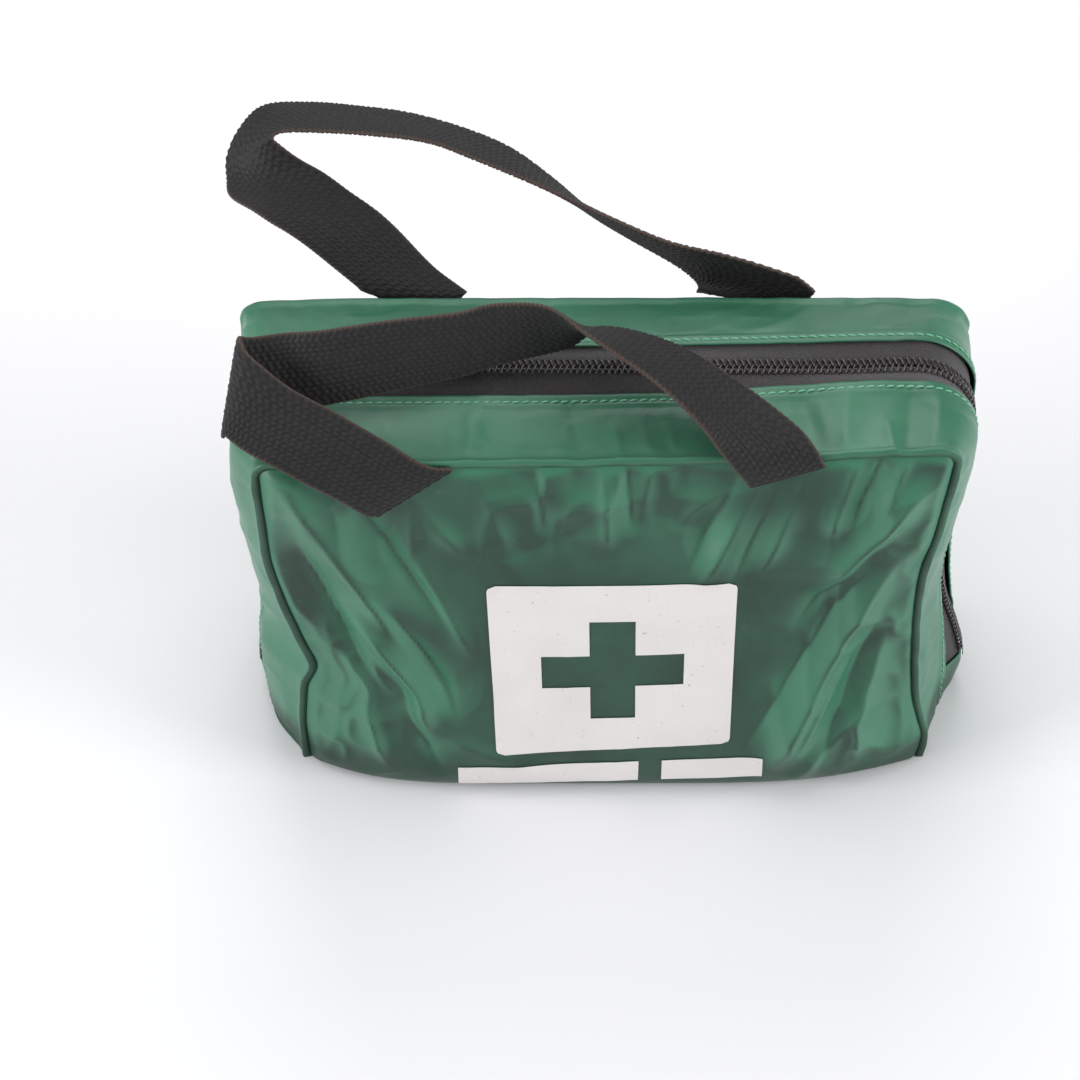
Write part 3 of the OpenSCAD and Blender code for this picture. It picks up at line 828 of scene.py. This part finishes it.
# One stitch over each turn of both coils; size is length, radius and hump
coilStitch = {"inset": 2.2, "level": 0.35, "slant": 0.35, "size": (1.9, 0.2, 0.15)}
for name, side, body in (("frontCoilThread", -1, None), ("backCoilThread", 1, "back_half")):
    run = np.arange(2, chainRun[-1] - 2, zipPart["pitch"])
    places = onChain(run, side * coilStitch["inset"] + 0 * run, coilStitch["level"] + 0 * run)
    lean = unit(sampled(chainAlong, chainRun, run) + [0, side * coilStitch["slant"], 0])
    up = sampled(chainUp, chainRun, run)
    thread = capsules(name, places, lean, up, coilStitch["size"], blackThread, body)
    if not body:
        foldAcross(thread)

# Stitches along both hems, from just above the ground
hemStitch = {"inset": 2.6, "step": 3.2, "level": 0.3, "slant": 0.16, "lowest": 3, "size": (2.8, 0.3, 0.34)}
for name, side, body in (("frontHemStitches", -1, None), ("backHemStitches", 1, "back_half")):
    line = aroundBag([side * (bag["zipEdge"] + hemStitch["inset"])], side=300, arc=40, top=400)[:, 0]
    line, along = evenly(line, hemStitch["step"], unit(np.gradient(line, axis=0)))[:2]
    clear = line[:, 2] > hemStitch["lowest"]
    line, along = line[clear], unit(along[clear])
    up = unit(np.cross(along, depthAxis))
    lean = unit(along - depthAxis * side * hemStitch["slant"])
    places = line + up * hemStitch["level"]
    stitches = capsules(name, places, lean, up, hemStitch["size"], greenThread, body)
    if not body:
        foldAcross(stitches)

# Cloth tabs over the zip's lower ends, feathered out at the top
endTab = {"high": 13, "half": 10.5, "out": 0.5, "wall": 0.7}
for side, name in ((-1, "leftZipEnd"), (1, "rightZipEnd")):
    rows = np.linspace(0, endTab["high"], 14)[:, None]
    y = np.linspace(-endTab["half"], endTab["half"], 24)[None, :]
    x, z = shaped(side * bag["half"], rows, y)
    grid = stack(x + side * endTab["out"] * ramp(rows, endTab["high"], 9), y, z)
    tab = addGrid(name, grid if side < 0 else grid[::-1], nylon, "back_half")
    thicken(tab, endTab["wall"])
    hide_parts("zip_end_tabs")
print("zip made")

# Corners of the printed square on the panel: x and z, from the lower left round to the upper left.
# Under it are two plain bars: x of their ends, z of their lower and upper edge, and their rise
printed = {"corners": ((-37, 22.5), (43.2, 27.5), (43.6, 100.5), (-39.8, 100.5)),
           "side": 83, "cross": 48.5, "arm": 15.5, "round": 3.0, "proud": 0.3,
           "bars": ((-51, 12), (20, 55)), "barLow": 4.5, "barHigh": 15.5, "barSlope": 0.05}


def onPanel(x, z, out):
    # Panel point for a flat place x, z on the print: x is turned into a share of the panel's width
    fine = np.linspace(0, 1, 400)
    v = np.interp(z, cubic(fine, [(p[0], p[1]) for p in panelRise]), fine)
    shift = shaped(np.asarray(x, float), z, bag["front"])[0] - x
    return panelPoint((x - shift) / bag["half"], v, out)


def warped(x, z):
    # Bilinear: a flat place on the square becomes a place between its four corners
    f, g = x / printed["side"] + 0.5, z / printed["side"] + 0.5
    low, right, high, left = [np.array(corner) for corner in printed["corners"]]
    return [(low[k] * (1 - f) + right[k] * f) * (1 - g) + (left[k] * (1 - f) + high[k] * f) * g for k in (0,
                                                                                                          1)]


halfPrint, halfCross, halfArm = printed["side"] / 2, printed["cross"] / 2, printed["arm"] / 2
cuts = [-halfPrint, -halfCross, -halfArm, halfArm, halfCross, halfPrint]
lines = np.concatenate([np.linspace(a, b, 14)[:-1] for a, b in zip(cuts, cuts[1:])] + [[halfPrint]])
fromCentre = np.abs(lines[:-1] + lines[1:]) / 2
long, short = fromCentre < halfCross, fromCentre < halfArm
inCross = (long[:, None] & short[None, :]) | (short[:, None] & long[None, :])
# Rounded corners: rows near the top and bottom are drawn in to a quarter circle
nearEdge = np.clip(printed["round"] - (halfPrint - np.abs(lines)), 0, printed["round"])
pull = 1 - (printed["round"] - np.sqrt(printed["round"] ** 2 - nearEdge ** 2)) / halfPrint
grid = onPanel(*warped(*np.broadcast_arrays(lines[:, None] * pull, lines[None, :])), printed["proud"])
quads = gridFaces(len(lines), len(lines)).reshape(len(lines) - 1, len(lines) - 1, 4)
printSquare = addMesh("printSquare", grid, quads[~inCross], ink, None, gridUv(grid))
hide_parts("print_square")
foldAcross(printSquare)
bars = []
for left, right in printed["bars"]:
    x = np.linspace(left, right, 60)[:, None]
    rise = printed["barSlope"] * (x - printed["bars"][0][0])
    z = np.linspace(printed["barLow"], printed["barHigh"], 16)[None, :] + rise
    bars.append(onPanel(x + 0 * z, z, printed["proud"]).reshape(-1, 3))
faces = np.vstack([gridFaces(60, 16), gridFaces(60, 16) + len(bars[0])])
points = np.vstack(bars)
printBars = addMesh("printBars", points, faces, ink, None, points[:, ::2] * toMetres)
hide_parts("print_bars")
foldAcross(printBars)
print("print made")

# Edge routes of both straps: x, y and z
frontInner = [
    (-49, -38.6, 148.2), (-55, -38.6, 150.5), (-67, -35, 156), (-83, -30, 162), (-100, -24, 168),
    (-111, -18, 173), (-118, -13, 175), (-117, -7, 175), (-104, -6, 176), (-92, -8, 179), (-67, -8, 184),
    (-47, -8, 187), (-35, -7, 190), (-20, -9, 191), (-6, -17, 186), (11, -24, 176), (28, -35, 166),
    (37, -41, 158), (42, -42.5, 151), (45, -42.5, 143)]
frontOuter = [
    (-76, -44, 130), (-84, -45.5, 134), (-98, -45, 145), (-108, -42, 152), (-118, -37, 156),
    (-122, -34, 158), (-123, -31, 158), (-121, -26, 156), (-106, -20, 156), (-90, -19, 158),
    (-67, -15, 161), (-51, -12, 163), (-35, -9, 166), (-14, -4, 168), (-1, 1, 172), (23, -3, 168),
    (40, -14, 164), (59, -31, 159), (66, -38, 154), (70, -39.5, 150)]
backInner = [
    (-49, 43.5, 131), (-50, 42.8, 139), (-51, 43, 146), (-61, 51, 152), (-76, 59, 163), (-92, 67, 171),
    (-104, 73, 177), (-110, 76, 184), (-111, 76, 188), (-108, 77, 189.5), (-98, 77, 190), (-85, 76, 190.5),
    (-68, 73, 191), (-57, 71, 190), (-46, 68, 187), (-33, 63, 184), (-20, 58, 181), (-9, 54, 178),
    (2, 50, 175), (20, 46, 168), (38, 43, 163), (53, 43, 155), (66, 43, 146), (67, 43, 139),
    (68, 43.6, 131)]
backOuter = [
    (-75, 43.5, 131), (-75, 42.6, 139), (-74, 43, 146), (-89, 48, 156), (-101, 54, 165), (-113, 61, 170),
    (-123, 70, 170), (-127, 78, 169), (-128, 86, 171), (-123, 94, 177), (-115, 98, 182), (-100, 98, 183),
    (-82, 96, 183), (-65, 93, 182.5), (-48, 90, 179), (-32, 86, 174), (-18, 80, 166), (-5, 73, 157),
    (8, 66, 152), (22, 58, 149), (32, 50, 149), (38, 46, 148), (43, 43, 146), (43, 43, 139),
    (43, 43.6, 131)]


def weaveHeight(a, c):
    # Zigzag ribs across the webbing: slanted floats in columns, and beads along both edges
    zig = np.abs(((c / strap["column"] / 2) % 1) * 2 - 1)
    rib = 0.5 + 0.5 * np.cos(2 * np.pi * (a / strap["rib"] + 0.55 * zig))
    yarn = np.abs(np.cos(np.pi * c / strap["column"])) ** 0.6
    bead = 0.5 + 0.5 * np.cos(2 * np.pi * a / strap["rib"] * 1.5)
    edge = ramp(np.abs(c), 11.4, 11.9)
    return strap["float"] * ((0.25 + 0.75 * rib) * yarn * (1 - edge) + bead * edge)


def addStrap(name, innerRoute, outerRoute):
    # A band swept between two edge routes, kept at its true width across its own direction
    a, b = splined(innerRoute, 16), splined(outerRoute, 16)
    middle, wide, run = evenly((a + b) / 2, strap["step"], a - b)
    along = unit(np.gradient(middle, axis=0))
    inner = ((run > 4) & (run < run[-1] - 4))[:, None]
    along = unit(along + 0.5 * (np.roll(along, 6, 0) + np.roll(along, -6, 0)) * inner)
    wide = unit(wide)
    skew = np.linalg.norm(np.cross(wide, along), axis=1, keepdims=True)
    wide = wide / np.clip(skew, 0.7, 1)
    face = unit(np.cross(wide, along))
    c = np.linspace(-0.5, 0.5, strap["across"]) * strap["width"]
    slim = strap["thick"] / 2 * np.sqrt(1 - np.minimum(1, np.abs(c) / (strap["width"] / 2 + 0.02)) ** 8)
    top = slim[None, :] + weaveHeight(run[:, None], c[None, :])
    low = slim[None, :] + weaveHeight(run[:, None] + 1, c[None, :])
    flat = middle[:, None] + wide[:, None] * c[None, :, None]
    upper, lower = flat + face[:, None] * top[..., None], flat - face[:, None] * low[..., None]
    grid = np.concatenate([upper, lower[:, ::-1]], axis=1)
    cols = grid.shape[1]
    last = (len(run) - 1) * cols
    faces = [*gridFaces(len(run), cols, True), list(range(cols))[::-1], [last + k for k in range(cols)]]
    over = np.concatenate([c, c[::-1]]) + strap["width"] / 2
    uv = stack(run[:, None], over[None, :], 0)[..., :2] * toMetres
    piece = addMesh(name, grid, faces, webbingYarn, None, uv)
    raised = np.concatenate([top - slim, (low - slim)[:, ::-1]], axis=1) / strap["float"]
    addAttribute(piece, "raised", raised)
    return piece


frontStrap = addStrap("frontStrap", frontInner, frontOuter)
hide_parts("front_handle", "front_handle_tabs")
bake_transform(frontStrap)
backStrap = addStrap("backStrap", backInner, backOuter)
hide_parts("back_handle", "back_handle_tabs")
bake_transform(backStrap)
print("straps made")


def refined(name, node, material, body, rounding=0.25):
    # A merged copy of a hard part with its sharp edges rounded off
    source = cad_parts[node]
    mesh = source.data.copy()
    mesh.transform(source.matrix_world)
    work = bmesh.new()
    work.from_mesh(mesh)
    bmesh.ops.remove_doubles(work, verts=work.verts, dist=0.000002)
    bmesh.ops.dissolve_limit(work, angle_limit=0.02, verts=work.verts, edges=work.edges)
    work.to_mesh(mesh)
    work.free()
    for layer in list(mesh.uv_layers):
        mesh.uv_layers.remove(layer)
    mesh.materials.clear()
    mesh.materials.append(material)
    mesh.polygons.foreach_set("use_smooth", np.ones(len(mesh.polygons), bool))
    piece = bpy.data.objects.new(name, mesh)
    scene.collection.objects.link(piece)
    bevel = piece.modifiers.new("rounded", "BEVEL")
    bevel.width, bevel.segments, bevel.limit_method = rounding * toMetres, 2, "ANGLE"
    bevel.angle_limit = math.radians(35)
    bevel.harden_normals = True
    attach(piece, body)
    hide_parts(node)
    return piece


steel = makeBrushed("surgicalSteel", (205, 206, 208), (170, 172, 176), 0.26, (900, 900, 60))
sliderMetal = makeBrushed("sliderMetal", (92, 90, 92), (58, 56, 58), 0.34, (300, 900, 300))
pullMetal = makePlain("pullPaint", (44, 42, 44), (28, 27, 29), 0.36, (200, 700), 0.04, coatWeight=0.3,
                      coatRoughness=0.2)
elasticCloth = makeWoven("elasticCloth", (52, 48, 50), (22, 20, 22), 1.1, 0.3)
cartonCard = makeBanded("cartonCard", (236, 236, 232), (52, 126, 88), ((1, 12), (46, 60)))
leafletPaper = makeBanded("leafletPaper", (240, 240, 236), (52, 126, 88), ((92, 109),))
tapeFabric = makeWound("tapeFabric", (232, 222, 205), (0.088, 0.017, 0.0823), 0.5)
coreCard = makePlain("coreCard", (186, 152, 112), (160, 126, 88), 0.8, (300, 900), 0.1)

for name, node, material, body, slot, rounding in (
        ("rightSlider", "right_slider", sliderMetal, "right_slider", "slider_metal", 0.35),
        ("leftSlider", "left_slider", sliderMetal, "left_slider", "slider_metal", 0.35),
        ("rightPull", "right_pull", pullMetal, "right_pull", "pull_metal", 0.4),
        ("leftPull", "left_pull", pullMetal, "left_pull", "pull_metal", 0.4),
        ("scissorsBackHalf", "scissors_back_half", steel, "back_half", "steel", 0.3),
        ("scissorsFrontHalf", "scissors_front_half", steel, "scissors_front", "steel", 0.3),
        ("scissorsScrew", "scissors_screw", steel, "back_half", "steel", 0.2),
        ("tweezers", "tweezers", steel, "back_half", "steel", 0.2),
        ("elasticStrap", "elastic_strap", elasticCloth, "back_half", "elastic", 0.2),
        ("plasterCarton", "plaster_carton", cartonCard, "back_half", "carton", 0.5),
        ("firstAidLeaflet", "first_aid_leaflet", leafletPaper, "front_half", "leaflet_paper", 0.15),
        ("tapeRoll", "tape_roll", tapeFabric, "back_half", "tape_fabric", 0.4),
        ("tapeCore", "tape_core", coreCard, "back_half", "core_card", 0.2)):
    refined(name, node, material, body, rounding)


def addWire(name, paths, radius, material, body):
    # Round wire along flat paths that lie across the y axis
    points, faces, start = [], [], 0
    turn = (np.arange(8) / 8 * 2 * np.pi)[None, :, None]
    for path in paths:
        along = unit(np.gradient(path, axis=0))
        up = depthAxis + 0 * along
        side = unit(np.cross(along, up))
        ring = path[:, None] + radius * (side[:, None] * np.cos(turn) + up[:, None] * np.sin(turn))
        points.append(ring.reshape(-1, 3))
        last = (len(path) - 1) * 8
        quads = [list(face[::-1] + start) for face in gridFaces(len(path), 8, True)]
        faces += quads + [[start + k for k in range(8)], [start + last + k for k in range(7, -1, -1)]]
        start += len(path) * 8
    return addMesh(name, np.vstack(points), faces, material, body)


# Each pin: clasp, down the fixed side, round the spring loop and up the sharp side, in x and z
pin = {"starts": (-8, 1), "depth": 13.1, "low": 4, "wire": 0.42, "lean": 0.5, "route": (
    (5.6, 29), (6.0, 24), (6.0, 8), (5.8, 3), (4.2, 0.9), (2.4, 1.6), (2.2, 3.6), (3.6, 4.6), (4.6, 3.2),
    (3.4, 1.2), (1.4, 2.6), (0.9, 8), (0.7, 18), (0.9, 28))}
pinPaths = []
for pinX in pin["starts"]:
    route = np.array(pin["route"])
    lean = pin["lean"] * np.arange(len(route)) / len(route)
    pinPaths.append(splined(stack(pinX + route[:, 0], pin["depth"] + lean, pin["low"] + route[:, 1]), 6))
safetyPins = addWire("safetyPins", pinPaths, pin["wire"], steel, "back_half")
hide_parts("safety_pins")


def addPack(name, low, size, material, body, seal, crease, seed):
    # A flat pack: two faces that swell between crimped borders, pinched to an edge all round
    a, b = np.linspace(-1, 1, 70)[None, :], np.linspace(-1, 1, 60)[:, None]
    halfX, halfY, halfZ = np.array(size) / 2
    border = np.minimum((1 - np.abs(a)) * halfX, (1 - np.abs(b)) * halfZ)
    puff = ramp(border, seal * 0.7, seal + 7)
    ribbed = 0.12 * np.sin(2 * np.pi * b * halfZ / 1.6) * (1 - ramp(border, seal * 0.6, seal))
    wrinkle = crease * crumple(a * halfX + seed, b * halfZ + 20 + seed, 15) * puff
    deep = (0.25 + (halfY - 0.5 - crease) * puff) * ramp(border, -0.1, 0.6)
    x, z = a * halfX + 0 * b, b * halfZ + 0 * a
    front = stack(x, -deep - wrinkle + ribbed, z)
    back = stack(x, deep + 0.6 * wrinkle + ribbed, z)
    grid = np.concatenate([front, back[:, ::-1]], axis=1) + np.array(low) + np.array([halfX, halfY, halfZ])
    cols = grid.shape[1]
    last = (len(b) - 1) * cols
    faces = [*gridFaces(len(b), cols, True)[:, ::-1], list(range(cols))[::-1],
             [last + k for k in range(cols)]]
    return addMesh(name, grid, faces, material, body)


dressingWrap = makePlain("dressingWrap", (238, 240, 240), (222, 226, 228), 0.42, (40, 500), 0.08,
                         coatWeight=0.2)
gloveBag = makePlain("gloveBag", (176, 202, 222), (148, 180, 206), 0.22, (50, 260), 0.12, coatWeight=0.5,
                     coatRoughness=0.1)
sachetFoil = makePlain("sachetFoil", (196, 222, 232), (150, 190, 212), 0.3, (60, 420), 0.1, coatWeight=0.3)
triWrap = makePlain("bandageWrap", (240, 238, 230), (220, 218, 208), 0.3, (50, 240), 0.16, coatWeight=0.4,
                    coatRoughness=0.15)
rescueFoil = makePlain("rescueFoil", (212, 214, 216), (160, 164, 168), 0.2, (90, 320), 0.3, metallic=0.9)
# Name, node, material, body, slot, lower corner and size of each, width of the sealed border, crease height
packs = (
    ("woundDressing", "wound_dressings", dressingWrap, "front_half", "dressing_wrap",
     [((-94, -34.8, 16.2), (80, 6, 74)), ((-94, -28.5, 16.2), (80, 6, 74))], 5, 0.35),
    ("glovePack", "glove_pack", gloveBag, "front_half", "glove_bag", [((-8, -34.8, 16.2), (88, 6, 66))], 4,
     0.7),
    ("wipeSachet", "wipe_sachets", sachetFoil, "front_half", "sachet_foil",
     [((4 + 6 * k, -28.3 + k * 2.3, 16.2), (60, 2, 50)) for k in range(3)], 4, 0.12),
    ("triangularBandage", "triangular_bandages", triWrap, "back_half", "tri_wrap",
     [((-112, -16, 1.5), (98, 9.5, 74)), ((-9, -16, 1.5), (98, 9.5, 74))], 5, 0.6),
    ("foilBlanket", "foil_blanket", rescueFoil, "back_half", "foil", [((-9, -5.6, 1.5), (98, 8.5, 70))], 4,
     1.0))
for name, node, material, body, slot, places, seal, crease in packs:
    for k, (low, size) in enumerate(places):
        pack = addPack(f"{name}{k + 1}", low, size, material, body, seal, crease, 11.0 * k)
        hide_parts(node)
        node in ("triangular_bandages", "wound_dressings")


def addRoll(name, node, place, radius, length, material, layer, ripple):
    # A wound bandage on its end: profile from core to rim and back, its ends ridged by an even spiral
    theta = (np.arange(120) / 120 * 2 * np.pi)[None, :]
    turnOf = theta / (2 * np.pi)
    rings, side = np.linspace(1.6, radius - 0.6, 44), np.linspace(0, 1, 60)[1:-1]
    r = np.concatenate([rings, radius - 0.35 + 0 * side, rings[::-1]])[:, None]
    z = np.concatenate([0 * rings, side * length, 0 * rings + length])[:, None]
    # Outward along the axis: -1 on the lower end, 0 on the side, 1 on the upper end
    outward = np.concatenate([0 * rings - 1, 0 * side, 0 * rings + 1])[:, None]
    z = z + outward * (0.35 * np.sin(2 * np.pi * (r / layer - turnOf)) - 0.35)
    crepe = ripple * noise(z / 1.3, theta * radius / 3.2) + ripple * 0.6 * np.sin(z * 2 * np.pi / 2.1)
    r = r + (1 - np.abs(outward)) * (crepe + 0.35 * turnOf)
    grid = stack(place[0] + r * np.cos(theta), place[1] + r * np.sin(theta), place[2] + z)
    faces = gridFaces(grid.shape[0], grid.shape[1], True, True)[:, ::-1]
    roll = addMesh(name, grid, faces, material, "back_half")
    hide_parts(node)


crepeCloth = makeWoven("crepeCloth", (236, 222, 198), (206, 186, 156), 0.9, 0.25)
gauzeCloth = makeWoven("gauzeCloth", (244, 243, 240), (216, 215, 210), 0.8, 0.2)
addRoll("wideBandage", "wide_bandage", (-98, 18, 1.5), 17, 98, crepeCloth, 1.3, 0.22)
addRoll("narrowBandage1", "narrow_bandages", (-64, 21, 1.5), 14, 73, gauzeCloth, 1.0, 0.12)
addRoll("narrowBandage2", "narrow_bandages", (-34, 21, 1.5), 14, 73, gauzeCloth, 1.0, 0.12)

# Pocket inside the lid: walls, hem and floor; corners are the wall's route in x and y, mirrored for the right
pocketCloth = makeNylon("pocketCloth", (46, 98, 72), (34, 80, 58), 0.55)
pocket = {"floor": 15.4, "half": 97.6, "corners": ((97.6, -36), (97.6, -28), (97, -22), (92, -20.3),
                                                   (40, -20.2))}
route = [(-x, y, 0) for x, y in pocket["corners"]] + [(x, y, 0) for x, y in pocket["corners"][::-1]]
pocketPath, pocketRun = evenly(splined(route, 8), 2.0)
for name, low, high, steps, out, thick, material in (
        ("pocketWall", 15.3, 92, 50, 0, 0.5, pocketCloth), ("pocketHem", 85, 93, 8, 0.3, 1.2, bindingCloth)):
    rows = np.linspace(low, high, steps)[:, None]
    ease = 0.15 * noise(pocketRun[None, :] / 14, rows / 18)
    grid = stack(pocketPath[None, :, 0], pocketPath[None, :, 1] + ease + out, rows)
    wall = addGrid(name, grid, material, "front_half")
    thicken(wall, thick)
    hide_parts("inner_pocket")
x, y = np.linspace(-pocket["half"], pocket["half"], 40)[None, :], np.linspace(-36, -21, 8)[:, None]
pocketFloor = addGrid("pocketFloor", stack(x, y, pocket["floor"]), pocketCloth, "front_half")
thicken(pocketFloor, 0.5)
print("hard parts and contents made")
